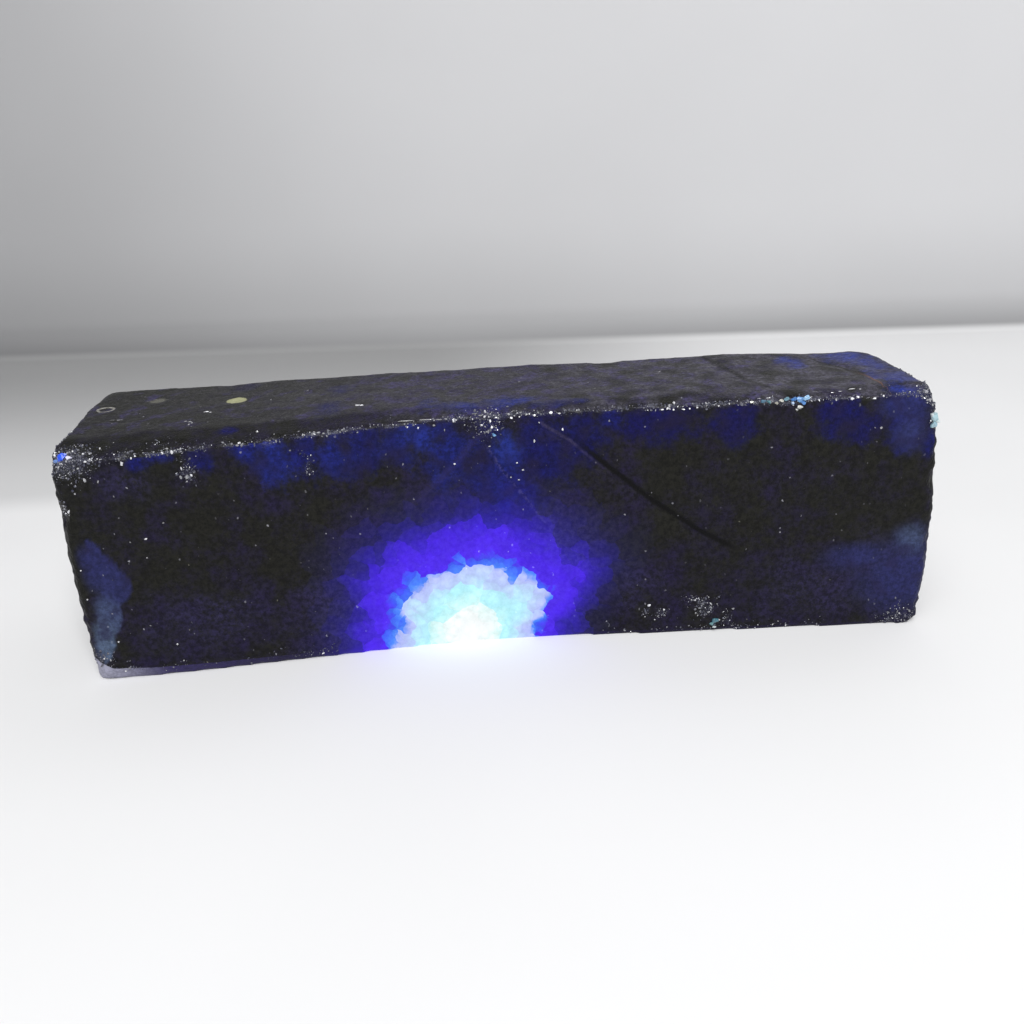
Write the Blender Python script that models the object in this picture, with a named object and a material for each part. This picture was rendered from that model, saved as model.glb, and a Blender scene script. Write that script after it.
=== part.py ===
"""Rough sapphire: one long sawn block of deep blue corundum, as it comes to the cutter.

The block is one solid. It starts as a box cut into a fine grid, is rounded along its arrises, is bent to the
plan of the real faces, and is then chipped, notched, cracked and pitted. The front faces -Y and the block is
145 mm long along X. The origin is on the surface it rests on, in the middle of its bounding box.
"""

import bmesh
import bpy
import numpy as np
from mathutils import Vector, noise
from mathutils.kdtree import KDTree

MM = 0.001

# Driving dimensions, in millimetres. X runs along the block, -Y is its front and Z is up.
LENGTH = 146.0
DEPTH = 34.0
HEIGHT = 43.3
SUNK = 1.0  # how far the grown box reaches below the flat base that is cut afterwards
GRID = 0.8  # edge of one grid cell before the surface is simplified
TRIANGLES = 9500  # left after the surface is simplified
SEED = 31.0

# Worn edges: the radius along each kind of arris.
ARRIS_RADIUS = 1.0
TOP_BACK_RADIUS = 2.0
END_RADIUS = 1.9
BASE_RADIUS = 0.8

# Flat bevel along the top of the front face, as (x, width): how far it reaches back over the top and down
# the front. It is broad and shallow at the left.
BEVEL_BACK = ((-72.5, 6.6), (-36.0, 5.2), (-6.0, 3.2), (72.5, 3.2))
BEVEL_DOWN = ((-72.5, 1.9), (-40.0, 1.3), (0.0, 0.8), (72.5, 0.9))

# Plan of the front face: how far it stands from Y = 0 at places along the block. It is a shallow dish between
# a proud left end and a flatter right half.
FRONT_PLAN = (
    (-72.5, -18.3),
    (-58.0, -17.4),
    (-36.0, -15.0),
    (-18.0, -12.2),
    (-6.0, -10.9),
    (12.0, -11.6),
    (40.0, -12.9),
    (72.5, -14.0),
)
BACK_PLAN = ((-72.5, 17.2), (-40.0, 18.5), (5.0, 17.8), (38.0, 16.6), (72.5, 12.4))
TOP_LEFT_DROP = 1.0  # the top slopes down to the left end by this much

# Profiles of the two ends, as (height, x): both lean in towards the top.
LEFT_PROFILE = ((0.0, -71.9), (8.0, -72.2), (18.0, -72.5), (25.0, -72.4), (33.0, -71.6), (43.0, -71.3))
RIGHT_PROFILE = ((0.0, 72.0), (6.0, 72.5), (20.0, 72.6), (30.0, 72.6), (38.0, 71.8), (43.0, 70.5))
LEFT_SKEW = -2.6  # the back of each end stands this much further along X than its front
RIGHT_SKEW = -2.0

# Undercut strip along the lower front, tallest at the left end and run out at FOOT_RIGHT.
FOOT_RIGHT = -14.0
FOOT_HEIGHT = 2.3
FOOT_UNDERCUT = 0.75

# Shallow step left by the saw above that strip.
STEP_LEFT, STEP_RIGHT = -48.7, -24.7
STEP_HEIGHT_LEFT, STEP_HEIGHT_RIGHT = 5.6, 3.0
STEP_DEPTH = 0.35
STEP_WIDTH = 0.7

# Natural fracture that crosses the block and opens as a notch in its upper front arris.
NOTCH_X = -2.3
NOTCH_WIDTH = 2.3
NOTCH_DEPTH = 1.5

# Open cracks on the front face, as (x, z) points from the arris down, with their width and depth.
CRACKS = (
    (((7.4, 40.4), (11.7, 37.3), (16.3, 32.9), (24.8, 25.4), (33.3, 19.2), (38.8, 16.0)), 1.1, 0.5),
    (((-2.4, 39.6), (-2.0, 36.5), (-0.7, 33.5), (1.7, 29.9), (4.4, 26.2), (9.3, 18.9)), 1.0, 0.25),
)

# Cracks across the top face, as (x, y) points.
TOP_CRACKS = (
    (((37.9, 12.5), (39.6, 4.3), (40.9, -2.8)), 0.9, 0.35),
    (((57.8, 6.5), (60.5, 2.0), (62.6, -4.0), (63.1, -9.8)), 0.9, 0.3),
)

# Hollows struck off the arrises and corners: a point on the edge, the side it was struck from, the radius of
# the hollow and how deep it bites.
STRUCK = (
    ((-71.5, -18.0, 40.5), (-1, -1, 1), 7.0, 1.4),
    ((-72.0, -18.0, 31.6), (-1, -1, 0), 3.6, 0.9),
    ((-60.0, -17.5, 40.6), (0, -1, 1), 5.0, 0.5),
    ((-36.0, -15.0, 41.2), (0, -1, 1), 4.0, 0.4),
    ((47.0, -13.3, 42.3), (0, -1, 1), 4.0, 0.5),
    ((71.5, -14.0, 42.5), (1, -1, 1), 6.0, 1.6),
    ((72.3, -14.0, 38.5), (1, -1, 0), 3.0, 0.5),
    ((72.3, -14.0, 0.5), (1, -1, -1), 6.0, 0.4),
    ((69.5, 12.5, 43.0), (1, 1, 1), 7.0, 1.5),
    ((70.6, 12.5, 24.0), (1, 1, 0), 8.0, 1.5),
    ((-74.0, 17.2, 9.0), (-1, 1, 0), 8.0, 1.8),
    ((20.0, 17.6, 43.0), (0, 1, 1), 6.0, 0.9),
    ((-50.0, 18.2, 42.5), (0, 1, 1), 5.0, 0.7),
    ((-28.0, 18.3, 0.0), (0, 1, -1), 8.0, 1.5),
    ((52.0, 15.4, 0.0), (0, 1, -1), 7.0, 1.5),
)

# Rows of small chips along the arrises: the axis that the arris follows, where the row starts and ends on
# it, the side of the block it lies on, the number of chips and how deep they bite.
CHIP_ROWS = (
    (0, -70.0, -36.0, (0, -1, 1), 11, 0.3),
    (0, -36.0, -6.0, (0, -1, 1), 9, 0.3),
    (0, 1.0, 40.0, (0, -1, 1), 12, 0.3),
    (0, 40.0, 70.0, (0, -1, 1), 10, 0.35),
    (0, -70.0, 70.0, (0, 1, 1), 22, 0.35),
    (2, 4.0, 38.0, (-1, -1, 0), 10, 0.4),
    (2, 3.0, 38.0, (1, -1, 0), 11, 0.5),
    (2, 3.0, 40.0, (-1, 1, 0), 9, 0.6),
    (2, 3.0, 40.0, (1, 1, 0), 9, 0.6),
    (1, -12.0, 14.0, (-1, 0, 1), 8, 0.3),
    (1, -9.0, 10.0, (1, 0, 1), 6, 0.3),
)
CHIP_RADIUS = 2.0

# Bruises, where a blow crushed the surface: (x, height on that face, radius, depth).
FRONT_BRUISES = (
    (-50.4, 37.6, 2.6, 0.3),
    (-31.5, 36.4, 2.2, 0.25),
    (26.7, 3.9, 2.2, 0.35),
    (34.5, 5.1, 3.2, 0.3),
    (38.4, 2.6, 2.4, 0.35),
)
TOP_BRUISES = (
    (-69.7, 4.2, 2.2, 0.3),
    (-61.6, 8.2, 2.4, 0.25),
    (-46.5, 4.8, 2.8, 0.25),
)

# Relief of the faces: height of the broad waves and of the lumps on sawn and on broken faces.
SAWN_WAVE, SAWN_LUMP = 0.22, 0.08
BEVEL_RAGGED, BEVEL_LUMP_LENGTH = 0.2, 2.8
BROKEN_WAVE, BROKEN_LUMP = 0.75, 0.14
WAVE_LENGTH, LUMP_LENGTH = 17.0, 4.2
PARTING_STEP = 1.1  # height of the steps on the broken back face
PARTING_PITCH = 15.0
PARTING_LEAN = 0.55  # how much the steps slant
FACETS = 360  # flat facets that the whole surface would break into
FACET_TILT = 0.065  # slope of a facet against the face
FACET_SOFTNESS = 0.9  # width of the worn border between facets
FACET_SEED = 6  # where the facets lie


def smooth(edge0, edge1, value):
    """0 before edge0, 1 past edge1, with a soft change between them."""
    t = np.clip((value - edge0) / (edge1 - edge0), 0.0, 1.0)
    return t * t * (3.0 - 2.0 * t)


def along_plan(plan, x):
    """The height of a line above its own axis at each x, bent smoothly past the line's points."""
    knots = np.array(plan)
    spread = 3.0
    taps = np.linspace(-spread, spread, 7)
    return np.mean([np.interp(x + tap, knots[:, 0], knots[:, 1]) for tap in taps], axis=0)


def noise_at(points, length, seed):
    """Smooth noise of about -1 to 1 whose lumps are this many millimetres across."""
    offset = Vector((seed, seed * 1.7, seed * 0.6))
    return np.array([noise.noise(Vector(p) / length + offset) for p in points]) * 1.6


def grid_box():
    """A closed box around the origin, cut into cells of about GRID on every face."""
    bm = bmesh.new()
    bmesh.ops.create_cube(bm, size=1.0)
    sides = (LENGTH, DEPTH, HEIGHT + SUNK)
    for axis, side in enumerate(sides):
        normal = Vector((0.0, 0.0, 0.0))
        normal[axis] = 1.0
        cells = round(side / GRID)
        for i in range(1, cells):
            everything = bm.verts[:] + bm.edges[:] + bm.faces[:]
            bmesh.ops.bisect_plane(bm, geom=everything, plane_co=normal * (i / cells - 0.5), plane_no=normal)
    bmesh.ops.scale(bm, vec=Vector(sides), verts=bm.verts)
    return bm


def edge_radius(p, half):
    """Radius of the arris nearest to each point, blended from one kind to the next."""
    x, y, z = (p / half).T
    radius = np.full(len(p), ARRIS_RADIUS)
    top = smooth(0.6, 0.9, z)
    radius += (TOP_BACK_RADIUS - ARRIS_RADIUS) * top * smooth(0.3, 0.8, y)
    radius += (END_RADIUS - ARRIS_RADIUS) * smooth(0.93, 0.98, np.abs(x)) * (1.0 - top)
    radius += (BASE_RADIUS - ARRIS_RADIUS) * smooth(0.6, 0.9, -z) * smooth(0.98, 0.93, np.abs(x))
    return radius[:, None]


def rounded(points):
    """The box's points moved onto a box with round arrises, and the outward direction at each."""
    half = np.array((LENGTH, DEPTH, HEIGHT + SUNK)) / 2.0
    radius = edge_radius(points, half)
    inner = np.clip(points, radius - half, half - radius)
    out = points - inner
    normals = out / np.linalg.norm(out, axis=1)[:, None]
    return inner + radius * normals, normals


def bent(p):
    """The rounded box bent to the plan and the leans of the real faces, and stood on its base."""
    x, y, z = p.T
    back = (y / DEPTH) + 0.5
    up = np.clip((z + HEIGHT / 2.0) / HEIGHT, 0.0, 1.0)
    right = (x / LENGTH) + 0.5
    new_y = along_plan(FRONT_PLAN, x) * (1.0 - back) + along_plan(BACK_PLAN, x) * back
    new_z = z + (HEIGHT + SUNK) / 2.0 - SUNK - TOP_LEFT_DROP * up * (1.0 - right)
    left_end, right_end = along_plan(LEFT_PROFILE, new_z), along_plan(RIGHT_PROFILE, new_z)
    left_end += LEFT_SKEW * back
    right_end += RIGHT_SKEW * back
    new_x = left_end * (1.0 - right) + right_end * right
    return np.stack((new_x, new_y, new_z), axis=1)


def cut_bevel(p):
    """The corner between the top and the front is planed off flat."""
    x, y, z = p.T
    reach_back, reach_down = along_plan(BEVEL_BACK, x), along_plan(BEVEL_DOWN, x)
    normals = np.stack((np.zeros_like(x), -reach_down, reach_back), axis=1)
    normals /= np.linalg.norm(normals, axis=1)[:, None]
    from_ridge_y = y - along_plan(FRONT_PLAN, x) - reach_back
    from_ridge_z = z - HEIGHT + TOP_LEFT_DROP * (0.5 - x / LENGTH)
    beyond = normals[:, 1] * from_ridge_y + normals[:, 2] * from_ridge_z
    near = np.flatnonzero(beyond > -1.0)
    beyond[near] += BEVEL_RAGGED * noise_at(p[near], BEVEL_LUMP_LENGTH, SEED + 5.0)
    p -= np.clip(beyond, 0.0, None)[:, None] * normals


def chips(p):
    """The striking spheres of every row of chips, spread unevenly along their arris."""
    rng = np.random.default_rng(int(SEED))
    for axis, start, end, side, count, bite in CHIP_ROWS:
        outward = np.array(side) / np.linalg.norm(side)
        for place in rng.uniform(start, end, count):
            radius = CHIP_RADIUS * rng.uniform(0.6, 1.5)
            depth = bite * rng.uniform(0.2, 1.0)
            slice_here = p[np.abs(p[:, axis] - place) < GRID]
            arris = slice_here[(slice_here @ outward).argmax()]
            yield arris + outward * (radius - depth), radius


def struck(p):
    """The striking spheres of the large hollows."""
    for place, side, radius, bite in STRUCK:
        nearest = p[np.linalg.norm(p - place, axis=1).argmin()]
        yield nearest + np.array(side) / np.linalg.norm(side) * (radius - bite), radius


def strike(p, centre, radius):
    """Points inside the striking sphere are pushed out to its surface, which leaves a smooth hollow."""
    away = p - centre
    distance = np.linalg.norm(away, axis=1)
    inside = distance < radius
    p[inside] += away[inside] / distance[inside, None] * (radius - distance[inside, None])


def distance_to_line(points, line):
    """Distance in a plane from each point to a line of short straight runs."""
    best = np.full(len(points), np.inf)
    for a, b in zip(np.array(line[:-1]), np.array(line[1:])):
        run = b - a
        t = np.clip((points - a) @ run / (run @ run), 0.0, 1.0)
        best = np.minimum(best, np.linalg.norm(points - a - t[:, None] * run, axis=1))
    return best


def cut_foot(p, front):
    """The strip below the lower front arris leans in under the block."""
    x, z = p[:, 0], p[:, 2]
    share = smooth(FOOT_RIGHT, FOOT_RIGHT - 30.0, x)
    height = FOOT_HEIGHT * (0.4 + 0.6 * share)
    depth = FOOT_UNDERCUT * np.clip(1.0 - z / height, 0.0, 1.3) * share
    p[:, 1] += depth * front


def cut_step(p, front):
    """A shallow groove where the saw changed its line."""
    x, z = p[:, 0], p[:, 2]
    along = (x - STEP_LEFT) / (STEP_RIGHT - STEP_LEFT)
    line = STEP_HEIGHT_LEFT + (STEP_HEIGHT_RIGHT - STEP_HEIGHT_LEFT) * along
    ends = smooth(-0.05, 0.15, along) * smooth(1.05, 0.85, along)
    groove = np.exp(-(((z - line) / STEP_WIDTH) ** 2))
    p[:, 1] += STEP_DEPTH * groove * ends * front


def cut_cracks(p, cracks, across, depth_axis, sign, weight):
    """Narrow grooves that follow each crack on one face and fade towards its lower end."""
    for line, width, depth in cracks:
        groove = np.exp(-((distance_to_line(p[:, across], line) / width) ** 2))
        fade = smooth(0.0, 6.0, np.linalg.norm(p[:, across] - np.array(line[-1]), axis=1))
        p[:, depth_axis] += sign * depth * groove * (0.3 + 0.7 * fade) * weight


def cut_bruises(p, bruises, across, depth_axis, sign, weight):
    """Shallow round pits, as a blow leaves them."""
    for u, v, radius, depth in bruises:
        r = np.linalg.norm(p[:, across] - np.array((u, v)), axis=1) / radius
        p[:, depth_axis] += sign * depth * smooth(1.0, 0.2, r) * weight


def cut_notch(p, normals):
    """The fracture's mouth: a V across the upper front arris."""
    arris = np.clip(-normals[:, 1], 0.0, 1.0) * np.clip(normals[:, 2], 0.0, 1.0) * 2.0
    vee = np.clip(1.0 - np.abs(p[:, 0] - NOTCH_X) / NOTCH_WIDTH, 0.0, 1.0)
    p -= normals * (NOTCH_DEPTH * vee * np.clip(arris, 0.0, 1.0))[:, None]


def parting_steps(p):
    """Flat steps of the broken back face: each slanting band stands a little in or out."""
    band = (p[:, 0] + PARTING_LEAN * p[:, 2]) / PARTING_PITCH + 0.5 * noise_at(p, 30.0, SEED + 3.0)
    heights = np.random.default_rng(int(SEED)).random(40)
    level = np.floor(band).astype(int)
    before, after = heights[level - 1], heights[level]
    steps = before + (after - before) * smooth(0.0, 0.12, band - level)
    return steps * smooth(HEIGHT - 1.0, HEIGHT - 8.0, p[:, 2])


def broken_facets(p):
    """Heights of flat facets that each lean their own way, with worn borders, as the stone breaks."""
    rng = np.random.default_rng(FACET_SEED)
    middles = p[rng.choice(len(p), FACETS, replace=False)]
    tilts = rng.normal(0.0, FACET_TILT, (FACETS, 3))
    tree = KDTree(FACETS)
    for i, middle in enumerate(middles):
        tree.insert(middle, i)
    tree.balance()
    height = np.zeros(len(p))
    corners = FACET_SOFTNESS * np.array(((1, 1, 1), (-1, -1, 1), (-1, 1, -1), (1, -1, -1))) / 2.0
    for corner in corners:
        nearest = np.array([tree.find(point)[1] for point in p + corner])
        height += ((p - middles[nearest]) * tilts[nearest]).sum(axis=1) / len(corners)
    return height


def roughen(p, normals):
    """Slight waves on the sawn front and top, facets and steps on the broken back and ends, none below."""
    broken = np.clip(smooth(0.2, 0.8, normals[:, 1]) + smooth(0.3, 0.9, np.abs(normals[:, 0])), 0.0, 1.0)
    broken *= 1.0 - 0.6 * smooth(0.3, 0.9, normals[:, 2])
    broken *= smooth(-DEPTH / 2.0, -DEPTH / 4.0, p[:, 1])
    wave = noise_at(p, WAVE_LENGTH, SEED) * (SAWN_WAVE + (BROKEN_WAVE - SAWN_WAVE) * broken)
    lump = noise_at(p, LUMP_LENGTH, SEED + 9.0) * (SAWN_LUMP + (BROKEN_LUMP - SAWN_LUMP) * broken)
    facet = broken_facets(p) * broken
    step = PARTING_STEP * parting_steps(p) * smooth(0.7, 0.95, normals[:, 1])
    p += normals * ((wave + lump + facet - step) * smooth(-0.9, -0.3, normals[:, 2]))[:, None]


def shape_block(points):
    """Every step that turns the box's points into the stone's surface."""
    p, normals = rounded(points)
    p = bent(p)
    front = smooth(0.4, 0.9, -normals[:, 1])
    top = smooth(0.4, 0.9, normals[:, 2])
    roughen(p, normals)
    cut_bevel(p)
    for centre, radius in (*struck(p), *chips(p)):
        strike(p, centre, radius)
    cut_notch(p, normals)
    cut_foot(p, front)
    cut_step(p, front)
    cut_cracks(p, CRACKS, (0, 2), 1, 1.0, front)
    cut_cracks(p, TOP_CRACKS, (0, 1), 2, -1.0, top)
    cut_bruises(p, FRONT_BRUISES, (0, 2), 1, 1.0, front)
    cut_bruises(p, TOP_BRUISES, (0, 1), 2, -1.0, top)
    return p


def simplified(mesh):
    """The same surface with TRIANGLES triangles, kept small where it bends and large where it is flat."""
    dense = bpy.data.objects.new("dense", mesh)
    bpy.context.scene.collection.objects.link(dense)
    decimate = dense.modifiers.new("Simplify", "DECIMATE")
    triangles = sum(len(face.vertices) - 2 for face in mesh.polygons)
    decimate.ratio = TRIANGLES / triangles
    decimate.use_collapse_triangulate = True
    bpy.context.view_layer.update()
    result = bpy.data.meshes.new_from_object(dense.evaluated_get(bpy.context.evaluated_depsgraph_get()))
    bpy.data.objects.remove(dense)
    return result


def cut_base(bm):
    """The block is cut off flat at Z = 0, and the cut is closed."""
    near = 0.01 * MM
    everything = bm.verts[:] + bm.edges[:] + bm.faces[:]
    cut = bmesh.ops.bisect_plane(
        bm, geom=everything, dist=near, plane_co=(0.0, 0.0, 0.0), plane_no=(0.0, 0.0, 1.0), clear_inner=True
    )
    for vert in bm.verts:
        if vert.co.z < near:
            vert.co.z = 0.0
    rim = [item for item in cut["geom_cut"] if isinstance(item, bmesh.types.BMEdge)]
    base = bmesh.ops.edgeloop_fill(bm, edges=rim)["faces"]
    bmesh.ops.triangulate(bm, faces=base, ngon_method="BEAUTY")
    bmesh.ops.recalc_face_normals(bm, faces=bm.faces)


def centre(bm):
    """The middle of the bounding box is moved above the origin, with the base left at Z = 0."""
    points = np.array([v.co[:] for v in bm.verts])
    middle = (points.min(axis=0) + points.max(axis=0)) / 2.0
    bmesh.ops.translate(bm, vec=(-middle[0], -middle[1], 0.0), verts=bm.verts)


def sapphire_material():
    """Very dark blue, almost black by daylight, with a dull sawn surface."""
    material = bpy.data.materials.new("sapphire")
    material.use_nodes = True
    shader = material.node_tree.nodes["Principled BSDF"]
    shader.inputs["Base Color"].default_value = (0.020, 0.019, 0.036, 1.0)
    shader.inputs["Roughness"].default_value = 0.45
    shader.inputs["Metallic"].default_value = 0.0
    shader.inputs["IOR"].default_value = 1.77
    return material


def make_block():
    bm = grid_box()
    points = shape_block(np.array([v.co[:] for v in bm.verts]))
    for vert, point in zip(bm.verts, points):
        vert.co = Vector(point) * MM
    dense = bpy.data.meshes.new("dense_block")
    bm.to_mesh(dense)
    bm.free()
    mesh = simplified(dense)
    mesh.name = "sapphire_block"
    bm = bmesh.new()
    bm.from_mesh(mesh)
    cut_base(bm)
    centre(bm)
    bm.to_mesh(mesh)
    bm.free()
    mesh.materials.clear()
    mesh.materials.append(sapphire_material())
    block = bpy.data.objects.new("sapphire_block", mesh)
    bpy.context.scene.collection.objects.link(block)


def clear_scene():
    for obj in list(bpy.data.objects):
        bpy.data.objects.remove(obj)


clear_scene()
make_block()
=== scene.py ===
"""Rough sapphire: the finished look of one long sawn block of deep blue corundum, with a torch's light from
below painted into it as glow.

Run it as a script in Blender. It loads the solid block, grows a fine skin over it, and adds crushed grains
along the arrises and a few bright crystals. The block is 149 mm long along X and its front faces -Y.
"""

import math
from functools import partial, reduce

import bmesh
import bpy
import numpy as np
from bpy.props import FloatProperty, FloatVectorProperty, IntProperty, PointerProperty
from mathutils import Matrix, Vector, noise
from mathutils.bvhtree import BVHTree


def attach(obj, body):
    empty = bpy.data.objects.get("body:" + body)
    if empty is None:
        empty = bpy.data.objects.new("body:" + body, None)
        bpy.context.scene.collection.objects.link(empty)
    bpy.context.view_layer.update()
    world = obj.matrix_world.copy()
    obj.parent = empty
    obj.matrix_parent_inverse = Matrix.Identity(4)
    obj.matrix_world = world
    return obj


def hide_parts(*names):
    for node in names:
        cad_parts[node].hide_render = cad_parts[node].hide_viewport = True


bl_info = {
    "name": "Rough sapphire",
    "version": (1, 0, 0),
    "blender": (4, 5, 0),
    "location": "View3D > Sidebar > Sapphire",
    "description": "A long sawn block of rough deep blue sapphire, with a torch's light in it",
    "category": "Object",
}

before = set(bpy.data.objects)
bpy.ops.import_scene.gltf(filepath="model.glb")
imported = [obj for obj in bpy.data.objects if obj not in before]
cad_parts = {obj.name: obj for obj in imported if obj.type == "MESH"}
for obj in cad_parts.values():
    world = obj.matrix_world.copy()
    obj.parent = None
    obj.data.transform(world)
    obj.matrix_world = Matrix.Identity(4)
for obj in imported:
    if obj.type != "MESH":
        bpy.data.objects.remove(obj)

MM = 0.001
NODE = "sapphire_block"
STONE = "sapphire_stone"
GRAINS = "crushed_grains"
CRYSTAL_PIECE = "bright_crystals"
FAR = 20.0  # a distance in millimetres at which no line shows
OUTSIDE = -3.0  # the depth of a point that is in no blob

# Places are in millimetres in the block's own frame. Places on the front are (x, z), and on the top (x, y).

# Blue windows, where light comes through the stone: place, half width, half height and lightness.
FRONT_WINDOWS = (
    (-56, 39.6, 2.4, 1.5, 0.2), (-53.6, 40.1, 3, 1.2, 0.25), (-46.6, 38.9, 2.4, 2.4, 0.2),
    (-39.4, 40.2, 2.8, 3.2, 0.3), (-35.3, 37.8, 4.3, 4.9, 0.35), (-30.5, 38.4, 3.2, 4.2, 0.2),
    (-25.5, 37.4, 4.2, 5.2, 0.3), (-20.7, 37.8, 4.2, 4.7, 0.2), (-15.8, 38, 3.4, 4, 0.3),
    (-11.6, 38.6, 3.8, 3, 0.5), (-13.8, 41.4, 2.2, 2.2, 0.6), (-6.9, 35.5, 6.4, 6.8, 0.3),
    (1.2, 31.6, 8, 10.5, 0.2), (2.6, 35.9, 3, 3.8, 1.1), (8, 35.2, 7, 8.8, 0.12),
    (14.7, 36.9, 5.2, 5.2, 0.1), (20, 40.2, 2.6, 2.4, 0.2), (24.6, 39.1, 4.4, 3.4, 0.02),
    (29.8, 39.6, 6, 4.4, 0), (40, 38.6, 4.8, 4.2, 0.05), (56.9, 39.9, 4.4, 3.4, 0.1),
    (58.7, 37.8, 6, 3.8, 0.1), (67.3, 40.5, 3.4, 3.2, 0.4), (67.8, 36.2, 3.4, 4.8, 0.15),
    (72, 34.2, 1.6, 4, 0.15),
)
TOP_WINDOWS = (
    (64.4, 7.5, 5.2, 4, 1), (67, 1.6, 3.4, 5.2, 0.95), (67.9, -6.5, 3.8, 5, 0.9),
    (67.5, -12.7, 3.2, 1.8, 0.9), (54.2, 6.6, 2.8, 4.4, 0.7), (-45.4, 13.1, 2.4, 3.2, 0.05),
    (-26.9, 7, 2.6, 4.8, 0.1), (-27, -4.6, 2.8, 4.6, 0.15), (-4.9, -7.4, 7.2, 2.8, 0.45),
    (1.9, -6.9, 7, 3.2, 0.5), (10.1, -8.8, 5.4, 1.8, 0.4), (-42.3, -11.9, 2, 1.2, 0.05),
    (-10.9, -4.2, 1.6, 3, 0.3),
)
# Cloudy violet places on the front, where light reaching the stone from inside is painted in: place, half
# width, half height.
HAZES = (
    (-50, 10, 17, 9), (-30, 8, 10, 14), (12, 20, 9, 10), (24, 10, 7, 6), (56, 8, 18, 9), (66, 12, 8, 11),
    (-58, 36, 8, 4),
)
# Pale, clouded windows near the ends: place, half width, half height, lightness, softness of the right edge.
PALE_WINDOWS = (
    (-67.2, 23.4, 2.6, 3.8, 0.1, 0.12), (-66.2, 20.2, 3.6, 4.6, 0.25, 0.12),
    (-64.6, 18.2, 3.4, 3.8, 0.25, 0.12), (-66.4, 13.6, 2.6, 4.8, 0.5, 0.12), (-67.9, 9, 2.2, 4, 0.85, 0.12),
    (-68.6, 6.4, 1.9, 2.8, 1.2, 0.12), (67.5, 41, 6.5, 4.5, 0.1, 0.8), (68.8, 36.5, 4.5, 6, 0.3, 0.8),
    (70.5, 15.5, 5, 5.6, 0.68, 0.8), (70, 9.5, 12, 10.5, 0, 0.8), (62, 13.5, 9, 4, 0, 0.8),
)
PALE_LEFT_SOFTNESS = 0.8

# Lines on the faces, from the arris inwards.
CRACK = ((8.9, 40.2), (13.2, 37.3), (17.8, 32.9), (26.3, 25.4), (34.8, 19.2), (40.3, 16), (42.5, 14.9))

SEAM = ((-1, 39.4), (-0.6, 36.5), (0.8, 33.5), (3.2, 29.9), (5.9, 26), (10.8, 18.9))

FAINT_SEAM = ((-2, 38.5), (-4.2, 36.2), (-6.4, 33.8), (-9, 31.2), (-14.5, 27.2))

TOP_CRACK = ((40.4, 12.5), (42.4, 4.1), (44, -3), (46.4, -7.4))

RUST_LINE = ((59.3, 6.3), (62, 1.8), (64.1, -4.2), (64.6, -10))


FADED_LINES = ("crack", "seam", "rust")  # the lines whose look changes along them

# Round marks on the top: place, half width and half depth.
TOP_SPOTS = {
    "lens": (-45.0, 4.6, 2.0, 2.0),
    "ring": (-68.2, 4.0, 1.7, 1.5),
    "disc": (-60.1, 8.0, 1.9, 1.7),
}

# The ridge between the top and the bevel along its front, as (x, y).
RIDGE = ((-74, -12.1), (-60, -11.2), (-36, -10), (-6, -8), (75, -10.5))

# How crushed the front arris is along X.
ARRIS_CRUSH = (
    (-72, 0.5), (-66, 1.2), (-50, 1.1), (-42, 0.7), (-36, 0.9), (-26, 1), (-20, 0.8), (-6, 0.6), (-2, 1),
    (2, 0.9), (12, 0.6), (18, 0.25), (24, 0.6), (27, 1), (35, 0.9), (38, 0.9), (42, 1.5), (47, 1.4),
    (53, 1.1), (58, 0.6), (64, 0.6), (72, 0.9),
)
# Bruises: place, radius across and up.
FRONT_BRUISES = (
    (-48.9, 37.6, 1.5, 2.4), (-30, 36.4, 1.2, 1.6), (28.2, 3.9, 1.5, 1.5), (25.6, 4.6, 0.9, 0.9),
    (33.4, 6.6, 1.6, 1.2), (36, 4.6, 2.6, 2.2), (40.2, 2.6, 1.6, 1.6), (-69.3, 32.4, 1, 2.2),
)
# The foot arris above the undercut strip: (x, height).
FOOT_LINE = ((-71, 5.6), (-69.6, 4.3), (-67.2, 2.6), (-60, 2), (-45, 1.7), (-20, 1.4), (0, 0.9), (75, 0.6))

FOOT_BACK = -11.0  # the strip ends here, and doesn't run round the ends
FOOT_START, FOOT_LENGTH = -73.0, 146.0

# How far the torch's light reaches in each direction: degrees up from +X, and the share of its usual reach.
TORCH_SHARES = (
    (-180, 0.9), (-10, 0.78), (8, 0.8), (16, 0.95), (28, 1.13), (45, 1.06), (70, 1.04), (85, 0.97),
    (104, 0.95), (122, 0.98), (143, 0.98), (158, 0.86), (180, 0.88),
)


def rgb(red, green, blue):
    """A colour given as 0-255 screen values, as the linear values that shaders take."""
    steps = [c / 255.0 for c in (red, green, blue)]
    return tuple(s / 12.92 if s <= 0.04045 else ((s + 0.055) / 1.055) ** 2.4 for s in steps)


def smooth(edge0, edge1, value):
    """0 before edge0, 1 past edge1, with a soft change between them."""
    t = np.clip((value - edge0) / (edge1 - edge0), 0.0, 1.0)
    return t * t * (3.0 - 2.0 * t)


def along(x, line):
    """The height of a line of (x, height) points at each x."""
    return np.interp(x, *np.array(line).T)


def noise_at(points, length, seed):
    """Smooth noise of about -1 to 1 whose lumps are this many millimetres across."""
    offset = Vector((seed, seed * 1.7, seed * 0.6))
    return np.array([noise.noise(Vector(p) / length + offset) for p in points]) * 1.6


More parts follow.
